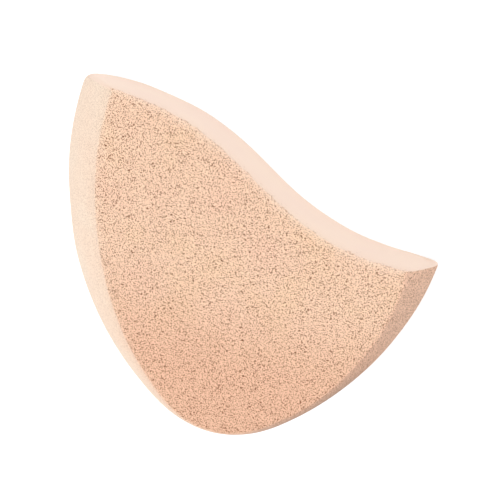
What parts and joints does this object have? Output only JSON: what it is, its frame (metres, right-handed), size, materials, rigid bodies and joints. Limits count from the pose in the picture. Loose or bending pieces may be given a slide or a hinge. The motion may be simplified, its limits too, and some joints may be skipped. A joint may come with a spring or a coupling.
{
  "type": "makeup sponge",
  "caption": "Leaf-shaped makeup sponge of soft foam with an open-celled front face, a bevelled rim and a smooth wavy top edge.",
  "frame": {"origin": "on the surface that the back face lies on, under the middle of the pad's outline", "axes": "+X from the left tip to the right tip, +Y towards the wavy edge, +Z out of the front face"},
  "size_m": [0.072, 0.0528, 0.015],
  "materials": {
    "core_foam": "open-celled foam, matt",
    "cut_foam": "sliced open-celled foam, matt and porous",
    "smooth_skin": "smooth moulded foam skin, matt",
    "fine_skin": "fine-pored moulded foam skin, matt"
  },
  "bodies": {
    "root": {"foam_core": "core_foam", "front_face": "cut_foam", "back_face": "cut_foam", "top_skin": "smooth_skin", "front_rim_skin": "fine_skin", "back_rim_skin": "fine_skin"}
  },
  "joints": []
}
